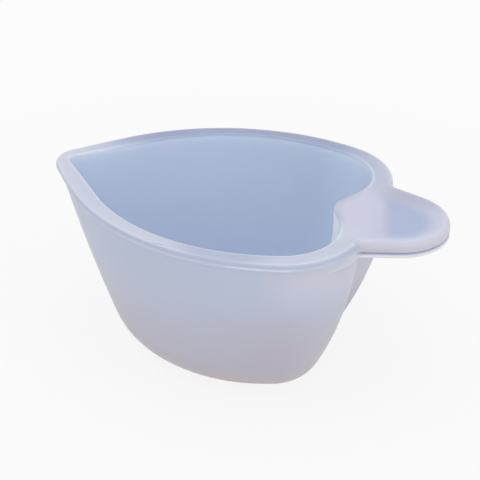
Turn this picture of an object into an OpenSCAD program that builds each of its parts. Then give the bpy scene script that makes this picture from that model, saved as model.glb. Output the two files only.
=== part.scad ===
// Resin mixing cup: one soft moulding with a pouring spout at one end and two lobes at the other.
// A lip runs round the rim and a thumb tab grows out of it between the lobes. Millimetres.
// The origin is the middle of the flat base, +X runs to the tab, -X to the spout, +Z is up.

/* [Cup] */
// Rim length from the spout to the ends of the lobes
rim_length = 49.7; // [47:0.2:53]
// Rim width across the long sides
rim_width = 40.6; // [38.6:0.2:42]
// Height from the flat base to the rim
cup_height = 26.7; // [23:0.1:31]
// How far the middle of the rim lies towards the spout from the middle of the base
rim_shift = 0.6; // [0:0.1:2]

/* [Rim outline] */
// Angle of each flank from the long axis, at the spout
flank_angle = 49; // [46:0.5:53]
// Corner radius of the spout
spout_radius = 4.1; // [3:0.1:5]
// Radius of the long side curves
side_radius = 33.4; // [32:0.2:36]
// Radius of the two lobes
lobe_radius = 11.9; // [10.5:0.1:12.6]
// Depth of the cleft between the lobes
cleft_depth = 2.7; // [1.8:0.1:3.4]
// Radius at the bottom of the cleft
cleft_radius = 3.9; // [2:0.1:5]

/* [Opening] */
// Width of the rim on the long sides
rim_land = 2.45; // [2.1:0.05:3.2]
// Width of the rim at the spout
spout_land = 1.9; // [1.6:0.1:3]
// Width of the rim at the ends of the lobes
lobe_land = 3.3; // [2.6:0.1:4.2]
// Angle of each flank of the opening from the long axis
opening_flank_angle = 45; // [42:0.5:49]
// Corner radius of the opening at the spout
opening_spout_radius = 1.2; // [0.8:0.1:2]
// Radius of the long side curves of the opening
opening_side_radius = 28.4; // [27:0.1:30.5]
// Radius of the lobes of the opening
opening_lobe_radius = 8.3; // [7:0.1:9]
// Depth of the cleft of the opening
opening_cleft_depth = 2.9; // [2.2:0.1:3.6]
// Radius at the point of the opening's cleft
opening_cleft_radius = 3.2; // [1.5:0.1:4]

/* [Base] */
// Length of the base outline, before its edge is rounded
base_length = 32.3; // [30:0.1:35]
// Width of the base outline, before its edge is rounded
base_width = 26; // [25:0.1:28]
// Angle of each flank of the base from the long axis
base_flank_angle = 50; // [48:0.5:52]
// Corner radius of the base under the spout
base_spout_radius = 2.4; // [1.6:0.1:3.2]
// Radius of the long side curves of the base
base_side_radius = 21.7; // [21:0.1:23.4]
// Radius of the lobes of the base
base_lobe_radius = 5.2; // [4.9:0.1:6]
// Depth of the cleft of the base
base_cleft_depth = 2.4; // [1.8:0.1:2.8]
// Radius at the bottom of the base's cleft
base_cleft_radius = 3; // [2:0.1:4]
// Reach of the rounded bottom edge, across
bottom_round = 3.8; // [3:0.1:4.4]
// Rise of the rounded bottom edge
bottom_rise = 4.5; // [3.5:0.1:6]

/* [Wall] */
// Wall thickness just above the floor
wall = 1.9; // [1.6:0.1:2.4]
// Floor thickness
floor_thickness = 2; // [1.6:0.1:2.6]
// How far the spout's ridge bows outwards half way up
spout_bow = 0.5; // [0:0.05:0.8]
// How far the long sides bow outwards half way up
side_bow = 1.2; // [0.4:0.05:1.6]
// How far the lobes bow outwards half way up
lobe_bow = 1.95; // [0.8:0.05:2.4]
// How much wider each flank's angle gets half way up
flank_spread = 2.3; // [0:0.1:3.5]
// How much flatter the long side curves get half way up
side_flatness = 1.7; // [0:0.1:3]
// How much tighter the lobes' radius gets half way up
lobe_tightness = 0.85; // [0:0.05:1.2]
// Reach and rise of the rounded edge of the floor inside
floor_round = 2.6; // [2:0.1:2.8]

/* [Lip] */
// Height of the lip that runs round the rim
lip_height = 1.1; // [0.9:0.1:1.6]
// How far the lip stands out from the wall
lip_overhang = 0.6; // [0.3:0.05:0.8]
// Radius of the lip's upper outer edge
lip_round = 0.7; // [0.4:0.05:0.9]
// Radius of the rim's edge at the opening
opening_round = 0.3; // [0.2:0.05:0.5]

/* [Tab] */
// Reach of the thumb tab beyond the lobes
tab_reach = 10.3; // [8:0.1:13]
// Radius of the tab's nose
tab_nose_radius = 7.5; // [6:0.1:8]
// Angle of each long edge of the tab from the axis
tab_taper = 19; // [15:0.5:22]
// Radius of the corners where the tab meets the lobes
tab_fillet = 1; // [0.6:0.1:1.6]
// Thickness of the tab
tab_thickness = 2.6; // [2.4:0.1:3.6]
// Radius of the tab's upper edge
tab_round = 1.1; // [0.8:0.05:1.2]
// Depth of the fine groove near the tab's lower edge
groove_depth = 0.12; // [0.05:0.01:0.2]

/* [Hidden] */
milky_white = [0.8, 0.82, 0.88];

// Places in an outline's list of sizes
TIP = 0;
TIP_RADIUS = 1;
FLANK = 2;
HALF_WIDTH = 3;
SIDE_RADIUS = 4;
LOBE_RADIUS = 5;
LOBE_END = 6;
CLEFT_DEPTH = 7;
CLEFT_RADIUS = 8;

// Facets along each stretch of an outline, from the spout to the cleft
tip_steps = 6;
flank_steps = 4;
side_steps = 13;
lobe_steps = 8;
lobe_end_steps = 9;
cleft_flank_steps = 4;
cleft_steps = 11;
// Facets of the tab, which together match the lobe's end and the cleft
fillet_steps = 4;
tab_edge_steps = 4;
nose_steps = lobe_end_steps + cleft_flank_steps + cleft_steps - fillet_steps - tab_edge_steps;

// Facets up each stretch of the section
bottom_steps = 6;
wall_steps = 7;
edge_steps = 4;
inside_steps = 8;
floor_steps = 6;

rim_tip = -rim_length / 2 - rim_shift;
rim_end = rim_length / 2 - rim_shift;
rim_shape = [rim_tip, spout_radius, flank_angle, rim_width / 2, side_radius, lobe_radius, rim_end,
    cleft_depth, cleft_radius];
opening_shape = [rim_tip + spout_land, opening_spout_radius, opening_flank_angle,
    rim_width / 2 - rim_land, opening_side_radius, opening_lobe_radius, rim_end - lobe_land,
    opening_cleft_depth, opening_cleft_radius];
base_shape = [-base_length / 2, base_spout_radius, base_flank_angle, base_width / 2,
    base_side_radius, base_lobe_radius, base_length / 2, base_cleft_depth, base_cleft_radius];
bow_shape = [-spout_bow, 0, flank_spread, side_bow, side_flatness, -lobe_tightness, lobe_bow, 0, 0];

lip_bottom = cup_height - lip_height;
tab_bottom = cup_height - tab_thickness;
// The tab's underside falls a little towards the wall, as a moulded face does
tab_fall = 0.3;
lip_edge = 0.25;
tab_lower_edge = 0.25;
groove_rise = 0.7;
groove_width = 0.2;
groove_slope = 0.06;
smallest_radius = 0.02;
// The cleft's largest share of the radius that just fits between the lobes
cleft_share = 0.97;

tab_nose_middle = [rim_end + tab_reach - tab_nose_radius, 0];
tab_edge_normal = [sin(tab_taper), cos(tab_taper)];
tab_edge_along = [cos(tab_taper), -sin(tab_taper)];
tab_corner = tab_corner_middle();
tab_joint_angle = direction(tab_corner - lobe_middle(rim_shape));

function mix(a, b, share) = a + (b - a) * share;

function direction(v) = atan2(v[1], v[0]);

function arc(middle, radius, from, to, steps) =
    [for (i = [0 : steps]) middle + radius * [cos(mix(from, to, i / steps)), sin(mix(from, to, i / steps))]];

// Points between two ends, without the ends
function between(start, end, steps) = [for (i = [1 : 1 : steps - 1]) mix(start, end, i / steps)];

function without_first(points) = [for (i = [1 : len(points) - 1]) points[i]];

// Middle of the long side curve, placed so that the flank runs straight into it
function side_middle(shape) =
    let (angle = shape[FLANK], radius = shape[SIDE_RADIUS], tip_radius = shape[TIP_RADIUS])
    let (flank_rise = shape[HALF_WIDTH] - radius * (1 - cos(angle)) - tip_radius * cos(angle))
    [
        shape[TIP] + tip_radius * (1 - sin(angle)) + flank_rise / tan(angle) + radius * sin(angle),
        shape[HALF_WIDTH] - radius
    ];

// Middle of the lobe, which touches the side curve from inside
function lobe_middle(shape) =
    let (side = side_middle(shape), x = shape[LOBE_END] - shape[LOBE_RADIUS])
    let (apart = shape[SIDE_RADIUS] - shape[LOBE_RADIUS])
    [x, side[1] + sqrt(apart * apart - (x - side[0]) * (x - side[0]))];

// The cleft's radius, held below the largest one that fits between the lobes
function cleft_fit(shape) =
    let (lobe = lobe_middle(shape), step = shape[LOBE_RADIUS] - shape[CLEFT_DEPTH])
    let (spare = step * step + lobe[1] * lobe[1] - shape[LOBE_RADIUS] * shape[LOBE_RADIUS])
    min(shape[CLEFT_RADIUS], cleft_share * spare / (2 * shape[CLEFT_DEPTH]));

// Half an outline from the spout's point to the tab's joint, moved inwards by inset
function spout_half(shape, inset) =
    let (angle = shape[FLANK], side = side_middle(shape), lobe = lobe_middle(shape))
    let (over = max(0, inset - shape[TIP_RADIUS] + smallest_radius))
    let (tip_middle = [shape[TIP] + shape[TIP_RADIUS] + over / sin(angle), 0])
    let (tip_radius = max(smallest_radius, shape[TIP_RADIUS] - inset))
    let (tip = arc(tip_middle, tip_radius, 180, 90 + angle, tip_steps))
    let (side_end = direction(lobe - side))
    let (long_side = arc(side, shape[SIDE_RADIUS] - inset, 90 + angle, side_end, side_steps))
    let (lobe_arc = arc(lobe, shape[LOBE_RADIUS] - inset, side_end, tab_joint_angle, lobe_steps))
    concat(tip, between(tip[tip_steps], long_side[0], flank_steps), long_side, without_first(lobe_arc));

// The rest of the half outline, round the lobe's end to the point of the cleft
function cleft_half(shape, inset) =
    let (lobe = lobe_middle(shape), radius = cleft_fit(shape))
    let (cleft = [shape[LOBE_END] - shape[CLEFT_DEPTH] + radius, 0])
    let (turn = direction(cleft - lobe) - asin((shape[LOBE_RADIUS] + radius) / norm(cleft - lobe)) + 90)
    let (lobe_end = arc(lobe, shape[LOBE_RADIUS] - inset, tab_joint_angle, turn, lobe_end_steps))
    let (cleft_arc = arc(cleft, radius + inset, turn + 180, 180, cleft_steps))
    concat(without_first(lobe_end), between(lobe_end[lobe_end_steps], cleft_arc[0], cleft_flank_steps),
        cleft_arc);

// Middle of the rounded corner between a lobe and the tab's long edge
function tab_corner_middle() =
    let (lobe = lobe_middle(rim_shape), reach = lobe_radius + tab_fillet)
    let (side = (tab_nose_middle - lobe) * tab_edge_normal + tab_nose_radius + tab_fillet)
    lobe + side * tab_edge_normal + sqrt(reach * reach - side * side) * tab_edge_along;

// The half outline of the tab, from its joint with the lobe to the end of its nose
function tab_half(inset) =
    let (corner = arc(tab_corner, tab_fillet + inset, tab_joint_angle + 180, 270 - tab_taper, fillet_steps))
    let (nose = arc(tab_nose_middle, tab_nose_radius - inset, 90 - tab_taper, 0, nose_steps))
    concat(without_first(corner), between(corner[fillet_steps], nose[0], tab_edge_steps), nose);

// A closed ring of points in space from a half outline, mirrored over the long axis
function ring(half, heights) =
    let (last = len(half) - 1)
    concat(
        [for (i = [0 : last]) [half[i][0], half[i][1], heights[i]]],
        [for (i = [last - 1 : -1 : 1]) [half[i][0], -half[i][1], heights[i]]]
    );

function level(half, z) = ring(half, [for (point = half) z]);

// Outline sizes of the wall at a share of its height, bowed outwards between its ends
function wall_shape(bottom, top, share) = mix(bottom, top, share) + bow_shape * 4 * share * (1 - share);

function outer_share(z) = z / lip_bottom;

function outer_shape(z) = wall_shape(base_shape, rim_shape, outer_share(z));

function outer_ring(z, inset) =
    let (shape = outer_shape(z), total = inset + lip_overhang * outer_share(z))
    level(concat(spout_half(shape, total), cleft_half(shape, total)), z);

function inner_share(z) = (z - floor_thickness) / (cup_height - floor_thickness);

function inner_ring(z, inset) =
    let (share = inner_share(z), shape = wall_shape(base_shape, opening_shape, share))
    let (total = inset + wall * (1 - share))
    level(concat(spout_half(shape, total), cleft_half(shape, total)), z);

// A ring that follows the wall or the lip round the cup, and the tab between the lobes
function rim_ring(cup_shape, cup_inset, cup_z, tab_inset, tab_z) =
    let (cup_part = spout_half(cup_shape, cup_inset), tab_part = tab_half(tab_inset))
    ring(concat(cup_part, tab_part), concat([for (p = cup_part) cup_z], [for (p = tab_part) tab_z]));

// The same with the cup's part on the wall, below the lip
function wall_and_tab_ring(z, tab_inset, tab_z) =
    rim_ring(outer_shape(z), lip_overhang * outer_share(z), z, tab_inset, tab_z);

// Rounded bottom edge and outer wall, up to the level of the tab's underside
function outer_rings() =
    concat(
        [for (i = [0 : bottom_steps])
            let (turn = 90 * i / bottom_steps)
            outer_ring(bottom_rise * (1 - cos(turn)), bottom_round * (1 - sin(turn)))],
        [for (i = [1 : wall_steps]) outer_ring(mix(bottom_rise, tab_bottom - tab_fall, i / wall_steps), 0)]
    );

// Side of the tab from its underside up past the groove: distances in from the outline, and heights
function tab_side() =
    let (groove = tab_bottom + groove_rise, groove_top = groove + groove_width)
    concat(
        [for (turn = [0, 45, 90])
            [tab_lower_edge * (1 - sin(turn)), tab_bottom + tab_lower_edge * (1 - cos(turn))]],
        [
            [0, groove],
            [groove_depth, groove + groove_slope],
            [groove_depth, groove_top - groove_slope],
            [0, groove_top],
            [0, groove_top + groove_width]
        ]
    );

// Side of the tab with the last of the wall beside it, and then with the side of the lip
function tab_and_lip_rings() =
    let (side = tab_side(), last = len(side) - 1, lip = last - 1, below = lip - 1)
    concat(
        [for (i = [0 : below])
            wall_and_tab_ring(mix(tab_bottom, lip_bottom, i / below), side[i][0], side[i][1])],
        [
            rim_ring(rim_shape, lip_edge, lip_bottom, side[lip][0], side[lip][1]),
            rim_ring(rim_shape, 0, lip_bottom + lip_edge, side[last][0], side[last][1])
        ]
    );

// Rounded upper edge of the lip and of the tab
function rim_edge_rings() =
    [for (i = [0 : edge_steps])
        let (turn = 90 * i / edge_steps)
        rim_ring(rim_shape, lip_round * (1 - cos(turn)), cup_height - lip_round * (1 - sin(turn)),
            tab_round * (1 - cos(turn)), cup_height - tab_round * (1 - sin(turn)))];

// Soft edge of the opening, inner wall and rounded edge of the floor
function inner_rings() =
    let (wall_top = cup_height - opening_round, wall_end = floor_thickness + floor_round)
    concat(
        [for (turn = [0, 30, 60])
            inner_ring(cup_height - opening_round * (1 - cos(turn)), -opening_round * (1 - sin(turn)))],
        [for (i = [0 : inside_steps]) inner_ring(mix(wall_top, wall_end, i / inside_steps), 0)],
        [for (i = [1 : floor_steps])
            let (turn = 90 * i / floor_steps)
            inner_ring(floor_thickness + floor_round * (1 - sin(turn)), floor_round * (1 - cos(turn)))]
    );

// One watertight skin through all the rings, closed by a fan under the base and one on the floor
module skin(rings) {
    count = len(rings[0]);
    last = len(rings) - 1;
    points = [for (r = rings) each r];
    below = len(points);
    above = below + 1;
    sides = [for (k = [0 : last - 1], j = [0 : count - 1])
        let (a = k * count + j, b = k * count + (j + 1) % count)
        each [[a, b, b + count], [a, b + count, a + count]]];
    base_fan = [for (j = [0 : count - 1]) [below, (j + 1) % count, j]];
    floor_fan = [for (j = [0 : count - 1]) [above, last * count + j, last * count + (j + 1) % count]];
    polyhedron(
        points = concat(points, [[0, 0, 0], [0, 0, floor_thickness]]),
        faces = concat(sides, base_fan, floor_fan),
        convexity = 6
    );
}

module cup() {
    color(milky_white)
        skin(concat(outer_rings(), tab_and_lip_rings(), rim_edge_rings(), inner_rings()));
}

cup();
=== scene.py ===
"""Resin mixing cup: a heart-shaped silicone moulding with a pouring spout, a lip and a thumb tab.

Sizes are in millimetres and degrees; the meshes are made in metres in the part's own frame:
the origin is the middle of the flat base, +X runs to the tab, -X to the spout, +Z is up.
"""

from __future__ import annotations

import logging
import math
from collections.abc import Callable, Mapping, Sequence
from dataclasses import asdict, dataclass, field
from enum import Enum, IntEnum
from functools import reduce
from operator import mul

import bpy
from mathutils import Matrix, Vector

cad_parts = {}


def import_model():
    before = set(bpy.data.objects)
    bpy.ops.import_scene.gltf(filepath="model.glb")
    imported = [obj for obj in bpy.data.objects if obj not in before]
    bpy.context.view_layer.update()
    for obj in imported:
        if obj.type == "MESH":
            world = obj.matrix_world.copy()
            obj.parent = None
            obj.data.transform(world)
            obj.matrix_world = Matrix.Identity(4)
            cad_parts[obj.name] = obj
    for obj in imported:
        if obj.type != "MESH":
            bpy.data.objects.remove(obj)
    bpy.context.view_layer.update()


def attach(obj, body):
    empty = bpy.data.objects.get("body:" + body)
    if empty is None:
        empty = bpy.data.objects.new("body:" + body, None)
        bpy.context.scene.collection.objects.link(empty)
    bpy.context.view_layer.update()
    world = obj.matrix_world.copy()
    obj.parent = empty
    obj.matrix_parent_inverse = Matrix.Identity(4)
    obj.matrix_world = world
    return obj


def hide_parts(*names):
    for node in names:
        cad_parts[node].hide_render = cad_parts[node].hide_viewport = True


LOG = logging.getLogger("mixing_cup")
MILLIMETRE = 0.001
DEGREE = math.pi / 180
Colour = tuple[float, float, float, float]
Number = float | int


def tone(red: int, green: int, blue: int) -> Colour:
    """Turns a colour as a screen shows it into a linear colour.

    Args:
        red: Share of red, from 0 to 255.
        green: Share of green, from 0 to 255.
        blue: Share of blue, from 0 to 255.

    Returns:
        The linear colour, fully opaque.
    """
    steps = (channel / 255 for channel in (red, green, blue))
    linear = [s / 12.92 if s <= 0.04045 else ((s + 0.055) / 1.055) ** 2.4 for s in steps]
    return (linear[0], linear[1], linear[2], 1.0)


def grey(level: float) -> Colour:
    """A linear grey."""
    return (level, level, level, 1.0)


class Term:
    """A value inside a node tree, so that node maths reads as plain expressions."""

    def __init__(self, graph: Graph, socket: bpy.types.NodeSocket) -> None:
        """Wraps an output socket of a tree's node."""
        self.graph = graph
        self.socket = socket

    def __add__(self, other: Value) -> Term:
        """Sum."""
        return self.graph.math("ADD", self, other)

    def __radd__(self, other: Value) -> Term:
        """Sum, with the value on the right."""
        return self.graph.math("ADD", other, self)

    def __sub__(self, other: Value) -> Term:
        """Difference."""
        return self.graph.math("SUBTRACT", self, other)

    def __rsub__(self, other: Value) -> Term:
        """Difference, with the value on the right."""
        return self.graph.math("SUBTRACT", other, self)

    def __mul__(self, other: Value) -> Term:
        """Product."""
        return self.graph.math("MULTIPLY", self, other)

    def __rmul__(self, other: Value) -> Term:
        """Product, with the value on the right."""
        return self.graph.math("MULTIPLY", other, self)

    def __truediv__(self, other: Value) -> Term:
        """Quotient."""
        return self.graph.math("DIVIDE", self, other)

    def __rtruediv__(self, other: Value) -> Term:
        """Quotient, with the value on the right."""
        return self.graph.math("DIVIDE", other, self)

    def __neg__(self) -> Term:
        """The value with its sign turned."""
        return self.graph.math("MULTIPLY", self, -1.0)

    def __abs__(self) -> Term:
        """The value without its sign."""
        return self.graph.math("ABSOLUTE", self)


Value = Term | Number


class Graph:
    """A node tree that is being built, for geometry and for materials alike."""

    def __init__(self, tree: bpy.types.NodeTree) -> None:
        """Starts on an empty tree."""
        self.tree = tree
        tree.nodes.clear()

    def node(
        self,
        kind: str,
        settings: Mapping[str, object] | None = None,
        sockets: Mapping[str | int, object] | None = None,
    ) -> bpy.types.Node:
        """Adds a node.

        Args:
            kind: The node's type.
            settings: Its properties, which are set before its sockets.
            sockets: Values or links of its input sockets, by name or place.

        Returns:
            The new node.
        """
        made = self.tree.nodes.new(kind)
        for name, setting in (settings or {}).items():
            setattr(made, name, setting)
        for key, value in (sockets or {}).items():
            self.feed(made.inputs[key], value)
        return made

    def feed(self, socket: bpy.types.NodeSocket, value: object) -> None:
        """Links a term to an input socket, or sets a plain value on it.

        Args:
            socket: The input socket.
            value: The term or the plain value.
        """
        if isinstance(value, Term):
            self.tree.links.new(value.socket, socket)
        else:
            socket.default_value = value

    def out(self, node: bpy.types.Node, output: str | int = 0) -> Term:
        """Wraps one of a node's outputs."""
        return Term(self, node.outputs[output])

    def math(self, operation: str, *values: Value) -> Term:
        """Adds a Math node on one or two values."""
        return self.out(self.node("ShaderNodeMath", {"operation": operation}, dict(enumerate(values))))

    def sin(self, angle: Value) -> Term:
        """Sine of an angle in degrees."""
        return self.math("SINE", angle * DEGREE)

    def cos(self, angle: Value) -> Term:
        """Cosine of an angle in degrees."""
        return self.math("COSINE", angle * DEGREE)

    def heading(self, x: Value, y: Value) -> Term:
        """Angle of a direction from the X axis, in degrees."""
        return self.math("ARCTAN2", y, x) / DEGREE

    def root(self, value: Value) -> Term:
        """Square root."""
        return self.math("SQRT", value)

    def least(self, first: Value, second: Value) -> Term:
        """The smaller of two values."""
        return self.math("MINIMUM", first, second)

    def most(self, first: Value, second: Value) -> Term:
        """The larger of two values."""
        return self.math("MAXIMUM", first, second)

    def clamp(self, value: Value) -> Term:
        """The value held between 0 and 1."""
        return self.most(0.0, self.least(1.0, value))

    def mix(self, start: Value, end: Value, share: Value) -> Term:
        """A value between two others."""
        return start + (end - start) * share

    def ease(self, value: Value, start: Value, end: Value) -> Term:
        """Rises smoothly from 0 to 1 while the value runs from start to end."""
        share = self.clamp((value - start) / (end - start))
        return share * share * (3.0 - 2.0 * share)

    def whole(self, value: Term) -> Term:
        """The whole number nearest to a value."""
        return self.out(self.node("FunctionNodeFloatToInt", {"rounding_mode": "ROUND"}, {0: value}))

    def pick(self, index: Term, options: Sequence[Value]) -> Term:
        """Takes one of several values by a whole number.

        Args:
            index: The whole number, from 0.
            options: The values to choose among.

        Returns:
            The chosen value.
        """
        switch = self.node("GeometryNodeIndexSwitch", {"data_type": "FLOAT"}, {"Index": index})
        while len(switch.index_switch_items) < len(options):
            switch.index_switch_items.new()
        for place, option in enumerate(options):
            self.feed(switch.inputs[place + 1], option)
        return self.out(switch)

    def blend(self, share: Value, first: Term | Colour, second: Term | Colour) -> Term:
        """Mixes two colours by a share from 0 to 1."""
        sockets = {0: share, 6: first, 7: second}
        return self.out(self.node("ShaderNodeMix", {"data_type": "RGBA"}, sockets), 2)


@dataclass(frozen=True)
class Outline:
    """Half of the cup's outline seen from above: spout, flank, long side, lobe and cleft."""

    tip: float
    tip_radius: float
    flank: float
    half_width: float
    side_radius: float
    lobe_radius: float
    lobe_end: float
    cleft_depth: float
    cleft_radius: float


@dataclass(frozen=True)
class Section:
    """Heights, thicknesses and edge radii of the cup's section."""

    cup_height: float = 26.7
    bottom_round: float = 3.8
    bottom_rise: float = 4.5
    wall: float = 1.9
    floor_thickness: float = 2.0
    floor_round: float = 2.6
    lip_height: float = 1.1
    lip_overhang: float = 0.6
    lip_round: float = 0.45
    lip_edge: float = 0.25
    opening_round: float = 0.3
    smallest_radius: float = 0.35


@dataclass(frozen=True)
class Tab:
    """The thumb tab, which grows out of the rim between the lobes.

    hollow_floor and hollow_edge are measured inwards from the nose's edge.
    """

    nose_x: float = 27.05
    nose_radius: float = 7.5
    taper: float = 19.0
    fillet: float = 1.4
    thickness: float = 2.6
    round: float = 1.1
    lower_edge: float = 0.25
    fall: float = 0.3
    groove_rise: float = 0.6
    groove_width: float = 0.3
    groove_depth: float = 0.14
    hollow: float = 0.15
    hollow_floor: float = 6.0
    hollow_edge: float = 2.0


class Stretch(IntEnum):
    """Stretches of the half outline, from the spout to the cleft."""

    TIP = 0
    FLANK = 1
    SIDE = 2
    LOBE = 3
    LOBE_END = 4
    CLEFT_FLANK = 5
    CLEFT = 6


class Row(IntEnum):
    """Stretches of the section, from the middle of the base over the rim to the middle of the floor."""

    BASE = 0
    BOTTOM_EDGE = 1
    WALL = 2
    TAB_UNDERSIDE = 3
    TAB_LOWER_EDGE = 4
    GROOVE = 5
    LIP_UNDERSIDE = 6
    LIP_SIDE = 7
    UPPER_EDGE = 8
    LAND = 9
    OPENING_EDGE = 10
    INSIDE = 11
    FLOOR_EDGE = 12
    FLOOR = 13


@dataclass(frozen=True)
class Level:
    """What one stretch of the section does on its way, as values in the tree."""

    height: Value
    inset: Value = 0.0
    inward: Value = 0.0
    reach: Value = 1.0
    tab_height: Value = 0.0
    tab_inset: Value = 0.0
    tab_share: Value = 0.0


@dataclass(frozen=True)
class Spot:
    """Where a point of the flat grid goes on the skin, as terms of the tree.

    The side is -1, 0 or 1, and along counts stretches from the spout's tip. The stretches are whole
    numbers. Each way runs from 0 to 1, and so do on_tab and beside_tab.
    """

    side: Term
    along: Term
    stretch: Term
    stretch_way: Term
    row: Term
    row_way: Term
    tab_way: Term
    on_tab: Term
    beside_tab: Term


class Measure(Enum):
    """Measures of a point of the skin, in millimetres."""

    ALONG = "along the cup"
    ACROSS = "across the cup"
    HEIGHT = "height over the base"
    DEPTH = "depth under the rim"


class Mark(Enum):
    """Marks from 0 to 1 that say on which part of the cup a point of the skin lies."""

    INSIDE = "inside"
    CLEFT = "cleft"
    GROOVE = "groove"
    TAB = "tab"
    OFF_TAB = "off_tab"
    FAR_SIDE = "far_side"
    TAB_MIDDLE = "tab_middle"


@dataclass(frozen=True)
class Fade:
    """A soft step from none to all along a measure, or along its distance from a middle."""

    measure: Measure
    start: float
    end: float
    middle: float | None = None


@dataclass(frozen=True)
class Patch:
    """A tone that lies softly over a part of the skin."""

    colour: Colour
    fades: tuple[Fade, ...] = ()
    marks: tuple[Mark, ...] = ()
    share: float = 1.0


class Skin:
    """A point of the skin as a material's tree sees it: its place, its measures and its marks."""

    def __init__(self, graph: Graph, cup_height: float) -> None:
        """Reads the place and the marks that the cup's rule leaves on its points.

        Args:
            graph: The material's tree.
            cup_height: The height from which depths are measured.
        """
        self.graph = graph
        self.place = graph.out(graph.node("ShaderNodeTexCoord"), "Object")
        axes = graph.node("ShaderNodeSeparateXYZ", sockets={0: self.place})
        along, across, height = (graph.out(axes, axis) / MILLIMETRE for axis in range(3))
        self.measures = {
            Measure.ALONG: along,
            Measure.ACROSS: across,
            Measure.HEIGHT: height,
            Measure.DEPTH: cup_height - height,
        }
        self.marks = {mark: self.stored(mark) for mark in (Mark.INSIDE, Mark.CLEFT, Mark.GROOVE, Mark.TAB)}
        self.marks[Mark.OFF_TAB] = 1.0 - self.marks[Mark.TAB]

    def stored(self, mark: Mark) -> Term:
        """Reads a mark that is stored on the mesh."""
        return self.graph.out(self.graph.node("ShaderNodeAttribute", {"attribute_name": mark.value}), "Fac")

    def noise(self, scale: float, detail: float) -> Term:
        """Cloudy noise from 0 to 1 at the given scale."""
        sockets = {"Vector": self.place, "Scale": scale, "Detail": detail}
        return self.graph.out(self.graph.node("ShaderNodeTexNoise", sockets=sockets))

    def fade(self, fade: Fade) -> Term:
        """Works out the share of a soft step at this point.

        Args:
            fade: The step.

        Returns:
            The share, from 0 to 1.
        """
        measure = self.measures[fade.measure]
        if fade.middle is not None:
            measure = abs(measure - fade.middle)
        return self.graph.ease(measure, fade.start, fade.end)

    def lay(self, under: Term | Colour, *patches: Patch) -> Term | Colour:
        """Lays patches over a colour, one after another.

        Args:
            under: The colour underneath.
            patches: The patches, the uppermost last.

        Returns:
            The colour that results.
        """
        for patch in patches:
            parts = [self.marks[mark] for mark in patch.marks] + [self.fade(fade) for fade in patch.fades]
            under = self.graph.blend(reduce(mul, parts, patch.share), under, patch.colour)
        return under


@dataclass(frozen=True)
class ThinShadedMiddle:
    """The tab's bluer middle, partly thinner silicone and partly painted shade of the floor under it: where
    it lies, and how soft its border is.
    """

    shift: float = 1.5
    border: tuple[float, float] = (1.3, 3.8)
    start: tuple[float, float] = (24.4, 26.8)
    slant: float = 0.25
    nose_fade: tuple[float, float] = (-0.5, 0.5)

    def share(self, skin: Skin, tab: Tab) -> Term:
        """Works out the share of the tab's bluer middle, which is partly painted shade.

        Args:
            skin: The point of the skin.
            tab: Sizes of the tab.

        Returns:
            The share, soft towards the tab's edge and towards the cup.
        """
        graph, x, y = skin.graph, skin.measures[Measure.ALONG], skin.measures[Measure.ACROSS]
        along, across = x - tab.nose_x, abs(y + self.shift)
        round_nose = graph.root(along * along + across * across)
        straight = across * math.cos(tab.taper * DEGREE) + along * math.sin(tab.taper * DEGREE)
        depth = tab.nose_radius - graph.mix(straight, round_nose, graph.ease(along, *self.nose_fade))
        return graph.ease(depth, *self.border) * graph.ease(x + self.slant * y, *self.start)


@dataclass(frozen=True)
class Scratch:
    """A scratch along the front of the rim, drawn as two fine lines beside each other: a painted highlight
    and a painted shade.
    """

    along: float = -0.7
    across: float = -19.0
    slope: float = 0.08
    light: Colour = tone(214, 220, 235)
    dark: Colour = tone(166, 162, 186)
    apart: float = 0.12
    width: tuple[float, float] = (0.14, 0.05)
    length: tuple[float, float] = (1.1, 0.7)

    def lay(self, skin: Skin, under: Term | Colour, on_rim: Term) -> Term:
        """Lays the lines over a colour.

        Args:
            skin: The point of the skin.
            under: The colour underneath.
            on_rim: Share of the rim's upper face, which alone is scratched.

        Returns:
            The colour with the lines.
        """
        graph = skin.graph
        x, y = skin.measures[Measure.ALONG] - self.along, skin.measures[Measure.ACROSS] - self.across
        ends = graph.ease(abs(x), *self.length)
        for colour, shift in ((self.light, self.apart), (self.dark, -self.apart)):
            line = graph.ease(abs(y + self.slope * x - shift), *self.width) * ends
            under = graph.blend(line * on_rim, under, colour)
        return under


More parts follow.
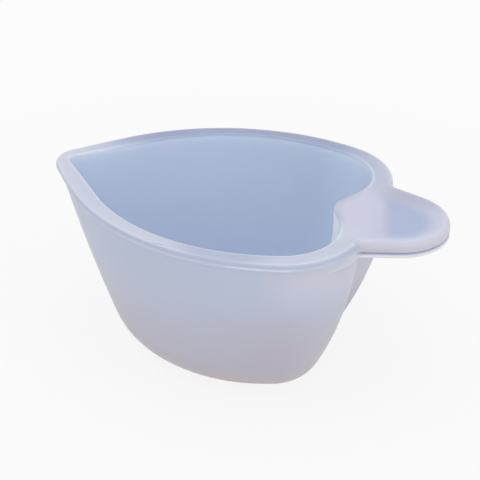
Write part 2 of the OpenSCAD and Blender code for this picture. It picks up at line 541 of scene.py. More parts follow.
@dataclass(frozen=True)
class MilkySilicone:
    """Milky, slightly bluish silicone with a satin skin, cast in a finely blasted mould.

    Its tone changes softly from place to place, and many patches are painted light and shade, so each place
    has a patch of its own.
    """

    wall: Colour = tone(198, 205, 221)
    low_wall: Patch = Patch(tone(197, 195, 207), (Fade(Measure.HEIGHT, 22.0, 5.0),))
    # Painted light: a warm tint towards the lobes that stands in for light shining through the silicone.
    warm_lobe: Patch = Patch(
        tone(194, 189, 199), (Fade(Measure.ALONG, 2.0, 17.0), Fade(Measure.HEIGHT, 24.0, 8.0)), share=0.8
    )
    # Painted light: a lighter band on the wall just under the lip, where the lip's shade falls.
    under_lip: Patch = Patch(
        tone(201, 207, 224), (Fade(Measure.DEPTH, 4.2, 1.4), Fade(Measure.DEPTH, 0.95, 1.1))
    )
    lit_lobe: Patch = Patch(
        tone(209, 210, 221), (Fade(Measure.ALONG, 11.0, 19.0), Fade(Measure.DEPTH, 9.7, 2.7))
    )
    # Painted light in the cleft's valley on the outer wall, which lies in shade under the tab.
    valley: Patch = Patch(
        tone(214, 213, 223),
        (Fade(Measure.ACROSS, -0.5, 1.5), Fade(Measure.HEIGHT, 6.0, 14.0)),
        (Mark.CLEFT,),
        share=0.7,
    )
    # Painted shade: the lip's side is darker than the rim's upper face, which faces the light above.
    lip: Patch = Patch(tone(187, 194, 214), (Fade(Measure.DEPTH, 1.1, 0.95),))
    # Painted light: a warm tone along the bottom edge for light from the floor shining through the base.
    foot: Patch = Patch(tone(207, 187, 187), (Fade(Measure.HEIGHT, 6.5, 0.5),))
    # Painted shade on the lip's far side.
    far_lip: Patch = Patch(
        tone(166, 172, 196), (Fade(Measure.ACROSS, 3.0, 8.0), Fade(Measure.DEPTH, 1.2, 0.9))
    )
    tab_side: Patch = Patch(tone(203, 202, 213), (Fade(Measure.DEPTH, 3.0, 2.6),), (Mark.TAB,))
    # Painted highlight: a light strip along the tab's lower edge, where it catches light from the floor.
    tab_strip: Patch = Patch(
        tone(226, 227, 230), (Fade(Measure.DEPTH, 2.7, 2.5), Fade(Measure.DEPTH, 2.0, 2.2)), (Mark.TAB,)
    )

    rim: Colour = tone(205, 209, 224)
    # Painted shade: the rim is darker on the far side.
    far_rim: Patch = Patch(tone(158, 167, 195), marks=(Mark.FAR_SIDE,))
    # Painted shade on the middle of the front rim.
    front_rim: Patch = Patch(
        tone(184, 193, 213), (Fade(Measure.ACROSS, -8.0, -13.0), Fade(Measure.ALONG, 8.5, 2.5, middle=8.0))
    )
    web: Patch = Patch(
        tone(212, 214, 229),
        (
            Fade(Measure.ALONG, 14.0, 20.0),
            Fade(Measure.ALONG, 27.0, 23.0),
            Fade(Measure.ACROSS, 9.0, 5.0, middle=-2.0),
        ),
    )
    # Painted shade along the tab's back edge, which faces away from the light.
    tab_back: Patch = Patch(
        tone(188, 190, 209), (Fade(Measure.ACROSS, 1.5, 6.0), Fade(Measure.ALONG, 22.0, 26.0)), (Mark.TAB,)
    )
    # Partly the tab's bluer thin middle and partly painted shade of the floor under it.
    tab_middle: Patch = Patch(tone(180, 192, 220), marks=(Mark.TAB_MIDDLE,))

    # Painted shade along the upper outer edge of the front rim, laid over its highlight.
    front_edge: Patch = Patch(
        tone(168, 176, 199),
        (Fade(Measure.DEPTH, 0.6, 0.4), Fade(Measure.DEPTH, 0.02, 0.12), Fade(Measure.ACROSS, -5.0, -12.0)),
        (Mark.OFF_TAB,),
        share=0.8,
    )
    # Painted shade in the tab's groove.
    groove: Patch = Patch(tone(160, 165, 190), marks=(Mark.GROOVE,))
    # A mould line along the front of the lip, drawn as the painted highlight that it catches.
    mould_line: Patch = Patch(
        tone(214, 220, 235),
        (
            Fade(Measure.DEPTH, 0.1, 0.05, middle=0.77),
            Fade(Measure.ACROSS, -12.0, -14.0),
            Fade(Measure.ALONG, 5.0, 3.5, middle=13.5),
        ),
    )

    inner: Colour = tone(207, 217, 233)
    inner_lobe: Patch = Patch(tone(222, 232, 248), (Fade(Measure.ALONG, 9.0, 20.0),))
    # Painted shade on the opening's edge at the far side.
    far_opening: Patch = Patch(tone(158, 170, 197), (Fade(Measure.DEPTH, 0.6, 0.1),), (Mark.FAR_SIDE,))
    # Painted light on the cleft's ridge inside, which lies in shade, for light through the thick silicone.
    ridge: Patch = Patch(tone(236, 237, 241), (Fade(Measure.DEPTH, 13.0, 5.0),), (Mark.CLEFT,))
    # Painted shade along the ridge's upper edge.
    ridge_edge: Patch = Patch(tone(190, 195, 212), (Fade(Measure.DEPTH, 0.5, 0.15),), (Mark.CLEFT,))
    ridge_glow: Patch = Patch(
        (0.13, 0.135, 0.15, 1.0),
        (Fade(Measure.DEPTH, 13.0, 5.0), Fade(Measure.DEPTH, 0.0, 0.8)),
        (Mark.INSIDE, Mark.CLEFT),
    )

    on_rim: Fade = Fade(Measure.DEPTH, 0.4, 0.1)
    far_side: Fade = Fade(Measure.ACROSS, 2.0, 12.0)
    far_lobe: Fade = Fade(Measure.ALONG, 10.0, 24.0)
    far_lobe_share: float = 0.8
    thin_middle: ThinShadedMiddle = ThinShadedMiddle()
    scratch: Scratch = Scratch()
    cloud_scale: float = 90.0
    cloud_share: float = 0.1
    cloud_gloss: float = 0.1
    grain_scale: float = 5200.0
    grain_gloss: float = 0.06
    grain_depth: float = 0.0002
    wave_scale: float = 240.0
    wave_share: float = 3.0
    relief: float = 0.05
    roughness: float = 0.42
    refraction: float = 1.41
    scatter_depth: float = 0.0028

    def outer_tone(self, skin: Skin) -> Term:
        """Works out the tone of the outer wall, the lip, the rim and the tab.

        Args:
            skin: The point of the skin.

        Returns:
            The tone.
        """
        side = skin.lay(self.wall, self.low_wall, self.warm_lobe, self.under_lip, self.lit_lobe, self.valley)
        side = skin.lay(side, self.lip, self.foot, self.far_lip, self.tab_side, self.tab_strip)
        rim = skin.lay(self.rim, self.far_rim, self.front_rim, self.web, self.tab_back, self.tab_middle)
        on_rim = skin.fade(self.on_rim)
        whole = skin.graph.blend(on_rim, side, rim)
        whole = skin.lay(whole, self.front_edge, self.groove, self.mould_line)
        return self.scratch.lay(skin, whole, on_rim)

    def inner_tone(self, skin: Skin) -> Term:
        """Tone of the cavity."""
        return skin.lay(self.inner, self.inner_lobe, self.far_opening, self.ridge, self.ridge_edge)

    def material(self, tab: Tab, section: Section) -> bpy.types.Material:
        """Builds the material.

        Args:
            tab: Sizes of the thumb tab, whose middle is bluer: partly thinner silicone, partly painted
                shade.
            section: Sizes of the cup's section.

        Returns:
            The node-based material.
        """
        material = bpy.data.materials.new("milky_silicone")
        material.use_nodes = True
        graph = Graph(material.node_tree)
        skin = Skin(graph, section.cup_height)
        off_lobe = 1.0 - self.far_lobe_share * skin.fade(self.far_lobe)
        skin.marks[Mark.FAR_SIDE] = skin.fade(self.far_side) * off_lobe
        skin.marks[Mark.TAB_MIDDLE] = self.thin_middle.share(skin, tab)
        cloud, waves = skin.noise(self.cloud_scale, 2.0), skin.noise(self.wave_scale, 2.0)
        grain = skin.noise(self.grain_scale, 3.0)
        colour = graph.blend(skin.marks[Mark.INSIDE], self.outer_tone(skin), self.inner_tone(skin))
        relief = {
            "Strength": self.relief,
            "Distance": self.grain_depth,
            "Height": grain + self.wave_share * waves,
        }
        gloss = self.cloud_gloss * (cloud - 0.5) + self.grain_gloss * (grain - 0.5)
        look = graph.node(
            "ShaderNodeBsdfPrincipled",
            {"subsurface_method": "RANDOM_WALK"},
            {
                "Base Color": graph.blend(self.cloud_share * cloud, colour, self.low_wall.colour),
                "Roughness": self.roughness + gloss,
                "IOR": self.refraction,
                "Emission Color": skin.lay(grey(0.0), self.ridge_glow),
                "Emission Strength": 1.0,
                "Subsurface Weight": 1.0,
                "Subsurface Radius": (1.0, 1.0, 1.0),
                "Subsurface Scale": self.scatter_depth,
                "Normal": graph.out(graph.node("ShaderNodeBump", sockets=relief)),
            },
        )
        graph.node("ShaderNodeOutputMaterial", sockets={"Surface": graph.out(look)})
        return material


@dataclass
class CupMoulding:
    """The whole cup, one skin through rings that follow the outline from the base to the floor.

    The tab's half outline has tab_parts equal parts: one for its corner, one for its long edge and
    the rest for its nose. Over tab_fade of it the rim's heights turn into the tab's. Past lip_fade
    of the lobe's stretch the lip runs out towards the tab. Beside the tab, the rows that make its
    lower edge and its groove part at row_split of the way from its underside to the lip. The
    cleft's mark rises from cleft_start to cleft_end, in stretches past the tab's joint.
    """

    rim: Outline = Outline(-25.45, 4.1, 49.0, 20.3, 33.4, 11.9, 24.25, 2.7, 3.9)
    opening: Outline = Outline(-23.55, 1.2, 45.0, 17.85, 28.4, 8.3, 20.95, 2.9, 3.2)
    base: Outline = Outline(-16.15, 2.4, 50.0, 13.0, 21.7, 5.2, 16.15, 2.4, 3.0)
    bow: Outline = Outline(-0.5, 0.0, 2.3, 1.2, 1.7, -0.85, 1.95, 0.0, 0.0)
    section: Section = field(default_factory=Section)
    tab: Tab = field(default_factory=Tab)
    finish: MilkySilicone = field(default_factory=MilkySilicone)
    outline_steps: int = 20
    section_steps: int = 12
    tab_parts: float = 6.0
    tab_fade: float = 0.16
    lip_fade: float = 0.45
    row_split: float = 0.35
    largest_cleft_share: float = 0.97
    cleft_start: float = 0.1
    cleft_end: float = 1.3
    merge_distance: float = 2e-8

    def sizes(self) -> dict[str, float]:
        """Gathers all sizes.

        Returns:
            The sizes by the names of the tree's inputs.
        """
        named = {}
        for group in ("rim", "opening", "base", "bow", "section", "tab"):
            named.update({f"{group} {key}": value for key, value in asdict(getattr(self, group)).items()})
        corner_x, corner_y, joint = self.tab_corner()
        return named | {"tab corner_x": corner_x, "tab corner_y": corner_y, "tab joint": joint}

    def tab_corner(self) -> tuple[float, float, float]:
        """Works out the rounded corner between a lobe and the tab's long edge.

        Returns:
            The corner's middle and the angle at which it touches the lobe, in degrees.
        """
        rim, tab = self.rim, self.tab
        turn = rim.flank * DEGREE
        rise = rim.half_width - rim.side_radius * (1 - math.cos(turn)) - rim.tip_radius * math.cos(turn)
        side_x = rim.tip + rim.tip_radius * (1 - math.sin(turn)) + rise / math.tan(turn)
        side_x += rim.side_radius * math.sin(turn)
        lobe_x = rim.lobe_end - rim.lobe_radius
        apart = rim.side_radius - rim.lobe_radius
        lobe_y = rim.half_width - rim.side_radius + math.sqrt(apart**2 - (lobe_x - side_x) ** 2)
        normal = Vector((math.sin(tab.taper * DEGREE), math.cos(tab.taper * DEGREE)))
        along = Vector((normal.y, -normal.x))
        reach = rim.lobe_radius + tab.fillet
        from_lobe = Vector((tab.nose_x, 0)) - Vector((lobe_x, lobe_y))
        beside = from_lobe.dot(normal) + tab.nose_radius + tab.fillet
        step = beside * normal + math.sqrt(reach**2 - beside**2) * along
        return lobe_x + step.x, lobe_y + step.y, math.atan2(step.y, step.x) / DEGREE

    def spot(self, graph: Graph) -> Spot:
        """Works out where a point of the flat grid goes on the skin.

        Args:
            graph: The tree.

        Returns:
            The point's side, stretches and ways.
        """
        half, rows = len(Stretch) * self.outline_steps, len(Row) * self.section_steps
        on_grid = graph.out(graph.node("GeometryNodeInputPosition"))
        flat = graph.node("ShaderNodeSeparateXYZ", sockets={0: on_grid})
        column = graph.math("ROUND", (graph.out(flat, "X") + 0.5) * (2.0 * half)) - half
        along = (half - abs(column)) / self.outline_steps
        up = graph.math("ROUND", (graph.out(flat, "Y") + 0.5) * float(rows)) / self.section_steps
        stretch = graph.least(graph.math("FLOOR", along), float(len(Stretch) - 1))
        row = graph.least(graph.math("FLOOR", up), float(len(Row) - 1))
        tab_way = graph.clamp((along - float(Stretch.LOBE_END)) / float(len(Stretch) - Stretch.LOBE_END))
        return Spot(
            side=graph.math("SIGN", column),
            along=along,
            stretch=graph.whole(stretch),
            stretch_way=along - stretch,
            row=graph.whole(row),
            row_way=up - row,
            tab_way=tab_way,
            on_tab=graph.ease(tab_way, 0.0, self.tab_fade),
            beside_tab=graph.ease(along, Stretch.LOBE + self.lip_fade, Stretch.LOBE_END),
        )

    def outline_point(
        self, graph: Graph, size: Mapping[str, Term], inset: Term, spot: Spot, joint: Term
    ) -> tuple[Term, Term]:
        """Finds a point of the half outline.

        Every stretch is an arc or a straight run between two arcs with the same normal. Each is
        given by one middle, one radius and one angle. The angle changes on the way along an arc,
        the middle and the radius on the way along a straight run.

        Args:
            graph: The tree.
            size: The outline's nine sizes at this height, and its smallest radius.
            inset: How far the outline is moved inwards.
            spot: The point's stretch and way.
            joint: Angle on the lobe at which the tab begins.

        Returns:
            The point's distance along and across the cup.
        """
        flank, tip_radius, lobe_radius = size["flank"], size["tip_radius"], size["lobe_radius"]
        side_radius, half_width, lobe_end = size["side_radius"], size["half_width"], size["lobe_end"]
        sine, cosine = graph.sin(flank), graph.cos(flank)
        rise = half_width - side_radius * (1.0 - cosine) - tip_radius * cosine
        side_x = size["tip"] + tip_radius * (1.0 - sine) + rise * cosine / sine + side_radius * sine
        side_y = half_width - side_radius
        lobe_x = lobe_end - lobe_radius
        apart = side_radius - lobe_radius
        lobe_y = side_y + graph.root(apart * apart - (lobe_x - side_x) * (lobe_x - side_x))

        step = lobe_radius - size["cleft_depth"]
        spare = step * step + lobe_y * lobe_y - lobe_radius * lobe_radius
        largest_cleft = self.largest_cleft_share * spare / (2.0 * size["cleft_depth"])
        cleft_radius = graph.least(size["cleft_radius"], largest_cleft)
        cleft_x = lobe_end - size["cleft_depth"] + cleft_radius
        gap_x = cleft_x - lobe_x
        gap = graph.root(gap_x * gap_x + lobe_y * lobe_y)
        turn = graph.heading(gap_x, -lobe_y) + 90.0
        turn = turn - graph.math("ARCSINE", (lobe_radius + cleft_radius) / gap) / DEGREE

        smallest = size["smallest_radius"]
        tip_x = size["tip"] + tip_radius + graph.most(0.0, inset - tip_radius + smallest) / sine
        tip_now = graph.most(smallest, tip_radius - inset)
        side_now, lobe_now, cleft_now = side_radius - inset, lobe_radius - inset, -(cleft_radius + inset)
        side_start = flank + 90.0
        side_end = graph.heading(lobe_x - side_x, lobe_y - side_y)

        way = spot.stretch_way
        arcs = {
            Stretch.TIP: (tip_x, 0.0, tip_now, graph.mix(180.0, side_start, way)),
            Stretch.FLANK: (
                graph.mix(tip_x, side_x, way),
                side_y * way,
                graph.mix(tip_now, side_now, way),
                side_start,
            ),
            Stretch.SIDE: (side_x, side_y, side_now, graph.mix(side_start, side_end, way)),
            Stretch.LOBE: (lobe_x, lobe_y, lobe_now, graph.mix(side_end, joint, way)),
            Stretch.LOBE_END: (lobe_x, lobe_y, lobe_now, graph.mix(joint, turn, way)),
            Stretch.CLEFT_FLANK: (
                graph.mix(lobe_x, cleft_x, way),
                lobe_y * (1.0 - way),
                graph.mix(lobe_now, cleft_now, way),
                turn,
            ),
            Stretch.CLEFT: (cleft_x, 0.0, cleft_now, turn * (1.0 - way)),
        }
        middle_x, middle_y, radius, angle = (
            graph.pick(spot.stretch, choices) for choices in zip(*(arcs[stretch] for stretch in Stretch))
        )
        return middle_x + radius * graph.cos(angle), middle_y + radius * graph.sin(angle)

    def tab_point(self, graph: Graph, size: Mapping[str, Term], inset: Term, way: Term) -> tuple[Term, Term]:
        """Finds a point of the tab's half outline.

        Args:
            graph: The tree.
            size: All sizes by name.
            inset: How far the outline is moved inwards.
            way: The way from the joint with the lobe to the end of the nose, from 0 to 1.

        Returns:
            The point's distance along and across the cup.
        """
        parts = self.tab_parts
        corner = graph.clamp(way * parts)
        edge = graph.clamp(way * parts - 1.0)
        nose = graph.clamp(way * (parts / (parts - 2.0)) - 2.0 / (parts - 2.0))
        middle_x = graph.mix(size["tab corner_x"], size["tab nose_x"], edge)
        middle_y = size["tab corner_y"] * (1.0 - edge)
        radius = graph.mix(-(size["tab fillet"] + inset), size["tab nose_radius"] - inset, edge)
        angle = graph.mix(size["tab joint"], 90.0 - size["tab taper"], corner) * (1.0 - nose)
        return middle_x + radius * graph.cos(angle), middle_y + radius * graph.sin(angle)

    def levels(self, graph: Graph, size: Mapping[str, Term], spot: Spot) -> dict[Row, Level]:
        """Describes the stretches of the section.

        Args:
            graph: The tree.
            size: All sizes by name.
            spot: The point's way along a stretch of the section, and how close it is to the tab.

        Returns:
            Each stretch's heights and distances.
        """
        way = spot.row_way
        top = size["section cup_height"]
        lip_bottom = top - size["section lip_height"]
        tab_bottom = top - size["tab thickness"]
        underside = tab_bottom - size["tab fall"]
        beside_tab = graph.mix(tab_bottom, lip_bottom, self.row_split)
        run, rise = 1.0 - graph.sin(way * 90.0), 1.0 - graph.cos(way * 90.0)

        tab_edge, tab_round = size["tab lower_edge"], size["tab round"]
        groove = tab_bottom + size["tab groove_rise"] + 0.5 * size["tab groove_width"]
        above_groove = groove + 1.5 * size["tab groove_width"]
        tab_side = graph.mix(tab_bottom + tab_edge, above_groove, way)
        groove_shape = graph.ease(1.0 - abs(tab_side - groove) / size["tab groove_width"], 0.0, 1.0)

        lip_round, lip_edge = size["section lip_round"], size["section lip_edge"] * (1.0 - spot.beside_tab)
        overhang = size["section lip_overhang"] * (1.0 - spot.beside_tab)
        under_lip, lip_turn = graph.clamp(way * 2.0), graph.clamp(way * 2.0 - 1.0) * 90.0
        lip_inset = graph.mix(overhang, lip_edge, under_lip) * (1.0 - graph.sin(lip_turn))
        lip_low = lip_bottom + lip_edge * (1.0 - graph.cos(lip_turn))

        opening_round, floor_round = size["section opening_round"], size["section floor_round"]
        floor_level = size["section floor_thickness"]
        bottom_round, bottom_rise = size["section bottom_round"], size["section bottom_rise"]
        return {
            Row.BASE: Level(0.0, bottom_round, reach=way),
            Row.BOTTOM_EDGE: Level(bottom_rise * rise, bottom_round * run),
            Row.WALL: Level(graph.mix(bottom_rise, underside, way)),
            Row.TAB_UNDERSIDE: Level(
                graph.mix(underside, tab_bottom, way),
                tab_height=graph.mix(underside, tab_bottom, way),
                tab_inset=tab_edge,
                tab_share=way,
            ),
            Row.TAB_LOWER_EDGE: Level(
                graph.mix(tab_bottom, beside_tab, way),
                tab_height=tab_bottom + tab_edge * rise,
                tab_inset=tab_edge * run,
                tab_share=1.0,
            ),
            Row.GROOVE: Level(
                graph.mix(beside_tab, lip_bottom, way),
                tab_height=tab_side,
                tab_inset=size["tab groove_depth"] * groove_shape,
                tab_share=1.0,
            ),
            Row.LIP_UNDERSIDE: Level(lip_low, lip_inset, tab_height=above_groove, tab_share=1.0),
            Row.LIP_SIDE: Level(
                graph.mix(lip_bottom + lip_edge, top - lip_round, way),
                tab_height=graph.mix(above_groove, top - tab_round, way),
                tab_share=1.0,
            ),
            Row.UPPER_EDGE: Level(
                top - lip_round * run,
                lip_round * rise,
                tab_height=top - tab_round * run,
                tab_inset=tab_round * rise,
                tab_share=1.0,
            ),
            Row.LAND: Level(
                top,
                graph.mix(lip_round, -opening_round, way),
                inward=way,
                tab_height=top,
                tab_inset=tab_round,
                tab_share=1.0 - way,
            ),
            Row.OPENING_EDGE: Level(top - opening_round * rise, -opening_round * run, 1.0),
            Row.INSIDE: Level(graph.mix(top - opening_round, floor_level + floor_round, way), 0.0, 1.0),
            Row.FLOOR_EDGE: Level(floor_level + floor_round * run, floor_round * rise, 1.0),
            Row.FLOOR: Level(floor_level, floor_round, 1.0, 1.0 - way),
        }

    def by_row(self, graph: Graph, spot: Spot, value: Callable[[Row], Value]) -> Term:
        """Takes a value that depends on the stretch of the section."""
        return graph.pick(spot.row, [value(row) for row in Row])

    def tab_rows(self, graph: Graph, spot: Spot) -> Term:
        """1 on the stretches of the section that reach out to the tab."""
        return self.by_row(graph, spot, lambda row: float(Row.TAB_UNDERSIDE <= row <= Row.LAND))

    def outline_here(
        self, graph: Graph, size: Mapping[str, Term], spot: Spot, height: Term, inward: Term
    ) -> tuple[dict[str, Term], Term]:
        """Works out the outline at a height of the outer wall, the rim or the inner wall.

        Args:
            graph: The tree.
            size: All sizes by name.
            spot: The point's stretch of the section, and how close it is to the tab.
            height: The height over the base.
            inward: The way over the rim, from 0 at the outer edge to 1 at the opening.

        Returns:
            The outline's sizes, and how far it is moved inwards.
        """
        top, floor_level = size["section cup_height"], size["section floor_thickness"]
        lip_bottom = top - size["section lip_height"]
        flared = (Row.TAB_LOWER_EDGE, Row.GROOVE)
        flare = spot.beside_tab * self.by_row(
            graph, spot, lambda row: spot.row_way if row == Row.TAB_UNDERSIDE else float(row in flared)
        )
        outer_share = graph.mix(height / lip_bottom, 1.0, flare)
        inner_share = (height - floor_level) / (top - floor_level)
        overhang = size["section lip_overhang"] * outer_share * (1.0 - flare)
        thickness = size["section wall"] * (1.0 - inner_share)

        def by_wall(outer: Value, rim: Value, inner: Value) -> Term:
            """Takes the value for the outer wall, the rim or the inner wall."""
            return self.by_row(
                graph,
                spot,
                lambda row: outer if row < Row.LIP_UNDERSIDE else rim if row <= Row.LAND else inner,
            )

        share = by_wall(outer_share, 1.0, inner_share)
        bulge = 4.0 * share * (1.0 - share)
        shape = {"smallest_radius": size["section smallest_radius"]}
        for key in asdict(self.rim):
            upper = graph.mix(size[f"rim {key}"], size[f"opening {key}"], inward)
            shape[key] = graph.mix(size[f"base {key}"], upper, share) + size[f"bow {key}"] * bulge
        return shape, by_wall(overhang, 0.0, thickness)

    def place(self, graph: Graph, size: Mapping[str, Term], spot: Spot, levels: Mapping[Row, Level]) -> Term:
        """Works out a point's place.

        Args:
            graph: The tree.
            size: All sizes by name.
            spot: Where the point goes on the skin.
            levels: The stretches of the section.

        Returns:
            The place in metres.
        """

        def chosen(part: Callable[[Level], Value]) -> Term:
            """Takes one part of the level that the point lies on."""
            return self.by_row(graph, spot, lambda row: part(levels[row]))

        height, inward = chosen(lambda level: level.height), chosen(lambda level: level.inward)
        shape, inset = self.outline_here(graph, size, spot, height, inward)
        inset = chosen(lambda level: level.inset) + inset
        cup_x, cup_y = self.outline_point(graph, shape, inset, spot, size["tab joint"])
        tab_x, tab_y = self.tab_point(graph, size, chosen(lambda level: level.tab_inset), spot.tab_way)
        past_joint = graph.math("GREATER_THAN", spot.tab_way, 0.0)
        tab_share = past_joint * chosen(lambda level: level.tab_share)
        x, y = graph.mix(cup_x, tab_x, tab_share), graph.mix(cup_y, tab_y, tab_share)
        tab_height = chosen(lambda level: level.tab_height)
        z = graph.mix(height, tab_height, spot.on_tab * self.tab_rows(graph, spot))
        on_land = self.by_row(graph, spot, lambda row: float(row == Row.LAND))
        reach = chosen(lambda level: level.reach)
        axes = {
            0: x * reach * MILLIMETRE,
            1: y * reach * spot.side * MILLIMETRE,
            2: (z - self.hollow(graph, size, x, y) * on_land) * MILLIMETRE,
        }
        return graph.out(graph.node("ShaderNodeCombineXYZ", sockets=axes))

    def hollow(self, graph: Graph, size: Mapping[str, Term], x: Term, y: Term) -> Term:
        """Works out the depth of the tab's shallow hollow for the thumb, at a point of its upper face.

        Args:
            graph: The tree.
            size: All sizes by name.
            x: The point's distance along the cup.
            y: The point's distance across the cup.

        Returns:
            The depth.
        """
        along, edge = x - size["tab nose_x"], size["tab nose_radius"]
        distance = graph.root(along * along + y * y)
        outside = graph.ease(distance, edge - size["tab hollow_floor"], edge - size["tab hollow_edge"])
        return size["tab hollow"] * (1.0 - outside)

    def marks(
        self, graph: Graph, size: Mapping[str, Term], spot: Spot, levels: Mapping[Row, Level]
    ) -> dict[Mark, Term]:
        """Works out the marks that the material reads.

        Args:
            graph: The tree.
            size: All sizes by name.
            spot: Where the point goes on the skin.
            levels: The stretches of the section.

        Returns:
            The marks that are stored on the mesh.
        """
        cut = levels[Row.GROOVE].tab_inset / size["tab groove_depth"]
        groove = self.by_row(graph, spot, lambda row: cut if row == Row.GROOVE else 0.0)
        cleft = (Stretch.LOBE_END + self.cleft_start, Stretch.LOBE_END + self.cleft_end)
        return {
            Mark.INSIDE: self.by_row(graph, spot, lambda row: float(row > Row.LAND)),
            Mark.CLEFT: graph.ease(spot.along, *cleft),
            Mark.GROOVE: spot.on_tab * groove,
            Mark.TAB: spot.on_tab * self.tab_rows(graph, spot),
        }

    def tree(self, material: bpy.types.Material) -> tuple[bpy.types.NodeTree, dict[str, str]]:
        """Builds the tree that lays a grid of points round the outline and up the section.

        Args:
            material: The skin's material.

        Returns:
            The tree, and the identifiers of its inputs by name.
        """
        tree = bpy.data.node_groups.new("cup_moulding", "GeometryNodeTree")
        graph = Graph(tree)
        names = {}
        for name, value in self.sizes().items():
            socket = tree.interface.new_socket(name, in_out="INPUT", socket_type="NodeSocketFloat")
            socket.default_value = value
            names[name] = socket.identifier
        tree.interface.new_socket("Geometry", in_out="OUTPUT", socket_type="NodeSocketGeometry")
        entry = graph.node("NodeGroupInput")
        size = {name: graph.out(entry, name) for name in names}

        half, rows = len(Stretch) * self.outline_steps, len(Row) * self.section_steps
        counts = {"Size X": 1.0, "Size Y": 1.0, "Vertices X": 2 * half + 1, "Vertices Y": rows + 1}
        shape = graph.out(graph.node("GeometryNodeMeshGrid", sockets=counts))
        spot = self.spot(graph)
        levels = self.levels(graph, size, spot)
        for mark, value in self.marks(graph, size, spot, levels).items():
            settings = {"data_type": "FLOAT", "domain": "POINT"}
            sockets = {"Geometry": shape, "Name": mark.value, "Value": value}
            shape = graph.out(graph.node("GeometryNodeStoreNamedAttribute", settings, sockets))
        steps = {
            "GeometryNodeSetPosition": {"Position": self.place(graph, size, spot, levels)},
            "GeometryNodeMergeByDistance": {"Distance": self.merge_distance},
            "GeometryNodeSetShadeSmooth": {},
            "GeometryNodeRealizeInstances": {},
            "GeometryNodeSetMaterial": {"Material": material},
        }
        for kind, sockets in steps.items():
            shape = graph.out(graph.node(kind, sockets={"Geometry": shape, **sockets}))
        graph.node("NodeGroupOutput", sockets={0: shape})
        return tree, names

    def build(self) -> bpy.types.Object:
        """Makes the cup as one plain mesh that stands for the cup's solid.

        Returns:
            The cup's object.
        """
        material = self.finish.material(self.tab, self.section)
        tree, names = self.tree(material)
        holder = bpy.data.objects.new("cup_rule", bpy.data.meshes.new("cup_rule"))
        bpy.context.scene.collection.objects.link(holder)
        modifier = holder.modifiers.new("moulding", "NODES")
        modifier.node_group = tree
        for name, value in self.sizes().items():
            modifier[names[name]] = value
        depsgraph = bpy.context.evaluated_depsgraph_get()
        mesh = bpy.data.meshes.new_from_object(holder.evaluated_get(depsgraph))
        holder.modifiers.remove(modifier)
        bpy.data.objects.remove(holder)
        mesh.name = "silicone_cup"
        cup = bpy.data.objects.new("silicone_cup", mesh)
        bpy.context.scene.collection.objects.link(cup)
        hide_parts("cup")
        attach(cup, "root")
        LOG.info("silicone_cup: %d faces", len(mesh.polygons))
        return cup


class Panel(Enum):
    """Soft lamps: place and width in metres and strength in watts, each aimed at the cup."""

    KEY = ((0.0, -0.08, 0.8), 0.8, 2.3)
    FRONT = ((0.2, -0.7, 0.2), 0.6, 1.0)
    SIDE = ((0.6, -0.1, 0.2), 0.4, 0.45)


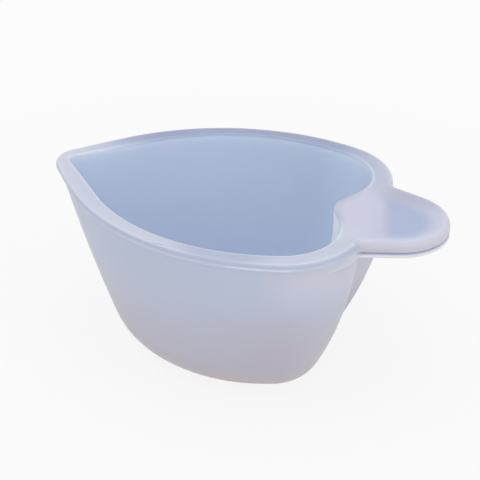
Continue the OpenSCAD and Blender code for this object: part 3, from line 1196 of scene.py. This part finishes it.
@dataclass
class Studio:
    """Pale floor, white surroundings, soft lamps and the camera.

    The floor, the lamps and the camera's clip are in metres. The camera's other sizes are in
    millimetres and degrees. The floor glows
    by floor_glow near the cup, so that it keeps a soft shadow, and altogether past floor_fade.
    """

    floor_radius: float = 1.5
    floor_corners: int = 64
    floor_drop: float = 2e-5
    floor_paper: float = 0.9
    floor_glow: float = 0.89
    floor_fade: tuple[float, float] = (0.04, 0.12)
    white: float = 0.975
    ambient: float = 0.56
    ambient_tint: Colour = (0.97, 0.98, 1.0, 1.0)
    lamp_aim: tuple[float, float, float] = (0.0, 0.0, 0.015)
    azimuth: float = 20.1403
    elevation: float = 30.2548
    roll: float = 0.42
    distance: float = 188.21
    target: tuple[float, float, float] = (3.8446, 0.0, 17.8431)
    lens: float = 95.29
    sensor: float = 36.0
    clip: float = 0.01

    def seen(self, graph: Graph) -> Term:
        """Tells where a ray shows the surroundings: straight, mirrored or through the object.

        Args:
            graph: The tree of the floor or the world.

        Returns:
            1 on such rays, 0 on all others.
        """
        path = graph.node("ShaderNodeLightPath")
        straight, mirrored = graph.out(path, "Is Camera Ray"), graph.out(path, "Is Glossy Ray")
        return graph.most(graph.most(straight, mirrored), graph.out(path, "Is Transmission Ray"))

    def floor_material(self) -> bpy.types.Material:
        """Builds a white floor that keeps the cup's soft shadow and fades into the surroundings.

        Returns:
            The node-based material.
        """
        material = bpy.data.materials.new("studio_floor")
        material.use_nodes = True
        graph = Graph(material.node_tree)
        place = graph.out(graph.node("ShaderNodeTexCoord"), "Object")
        length = graph.node("ShaderNodeVectorMath", {"operation": "LENGTH"}, {0: place})
        distance = graph.out(length, "Value")
        glow = self.floor_glow + (1.0 - self.floor_glow) * graph.ease(distance, *self.floor_fade)
        paper = graph.node("ShaderNodeBsdfDiffuse", sockets={"Color": grey(self.floor_paper)})
        light = graph.node("ShaderNodeEmission", sockets={"Color": grey(1.0), "Strength": self.white})
        shares = {0: self.seen(graph) * glow, 1: graph.out(paper), 2: graph.out(light)}
        both = graph.out(graph.node("ShaderNodeMixShader", sockets=shares))
        graph.node("ShaderNodeOutputMaterial", sockets={"Surface": both})
        return material

    def build_floor(self) -> None:
        """Lays the floor just under the cup's base."""
        mesh = bpy.data.meshes.new("floor")
        corners = range(self.floor_corners)
        turns = [2 * math.pi * corner / self.floor_corners for corner in corners]
        reach, drop = self.floor_radius, self.floor_drop
        ring = [(reach * math.cos(turn), reach * math.sin(turn), -drop) for turn in turns]
        mesh.from_pydata(ring, [], [list(corners)])
        mesh.materials.append(self.floor_material())
        floor = bpy.data.objects.new("floor", mesh)
        bpy.context.scene.collection.objects.link(floor)
        LOG.info("floor: %d corners", len(ring))

    def build_world(self) -> None:
        """Pale even light all round, seen as white."""
        world = bpy.data.worlds.new("surroundings")
        world.use_nodes = True
        graph = Graph(world.node_tree)
        soft, shown = (
            graph.out(graph.node("ShaderNodeBackground", sockets={"Color": colour, "Strength": strength}))
            for colour, strength in ((self.ambient_tint, self.ambient), (grey(1.0), self.white))
        )
        shares = {0: self.seen(graph), 1: soft, 2: shown}
        both = graph.out(graph.node("ShaderNodeMixShader", sockets=shares))
        graph.node("ShaderNodeOutputWorld", sockets={"Surface": both})
        bpy.context.scene.world = world

    def build_lamps(self) -> None:
        """Hangs the soft lamps."""
        for panel in Panel:
            place, width, power = panel.value
            lamp = bpy.data.lights.new(f"lamp_{panel.name.lower()}", "AREA")
            lamp.shape, lamp.size, lamp.energy = "SQUARE", width, power
            holder = bpy.data.objects.new(lamp.name, lamp)
            holder.location = place
            aim = Vector(self.lamp_aim) - Vector(place)
            holder.rotation_euler = aim.to_track_quat("-Z", "Y").to_euler()
            bpy.context.scene.collection.objects.link(holder)
            LOG.info("%s: %.1f W", lamp.name, power)

    def build_camera(self) -> None:
        """Sets the camera at the photograph's viewing angle."""
        turn, lift, roll = self.azimuth * DEGREE, self.elevation * DEGREE, self.roll * DEGREE
        right = Vector((math.cos(turn), math.sin(turn), 0))
        back = Vector((math.sin(turn) * math.cos(lift), -math.cos(turn) * math.cos(lift), math.sin(lift)))
        up = back.cross(right)
        level_right = right * math.cos(roll) + up * math.sin(roll)
        level_up = up * math.cos(roll) - right * math.sin(roll)
        place = (Vector(self.target) + back * self.distance) * MILLIMETRE
        turned = Matrix((level_right, level_up, back)).transposed().to_4x4()
        lens = bpy.data.cameras.new("camera")
        lens.lens, lens.sensor_width, lens.clip_start = self.lens, self.sensor, self.clip
        camera = bpy.data.objects.new("camera", lens)
        camera.matrix_world = Matrix.Translation(place) @ turned
        bpy.context.scene.collection.objects.link(camera)
        bpy.context.scene.camera = camera

    def build(self) -> None:
        """Builds the floor, the surroundings, the lamps and the camera."""
        self.build_floor()
        self.build_world()
        self.build_lamps()
        self.build_camera()
        bpy.context.scene.view_settings.view_transform = "Standard"


def main() -> None:
    """Loads the frame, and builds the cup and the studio."""
    logging.basicConfig(level=logging.INFO, format="%(name)s: %(message)s")
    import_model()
    CupMoulding().build()
    Studio().build()


if __name__ == "__main__":
    main()
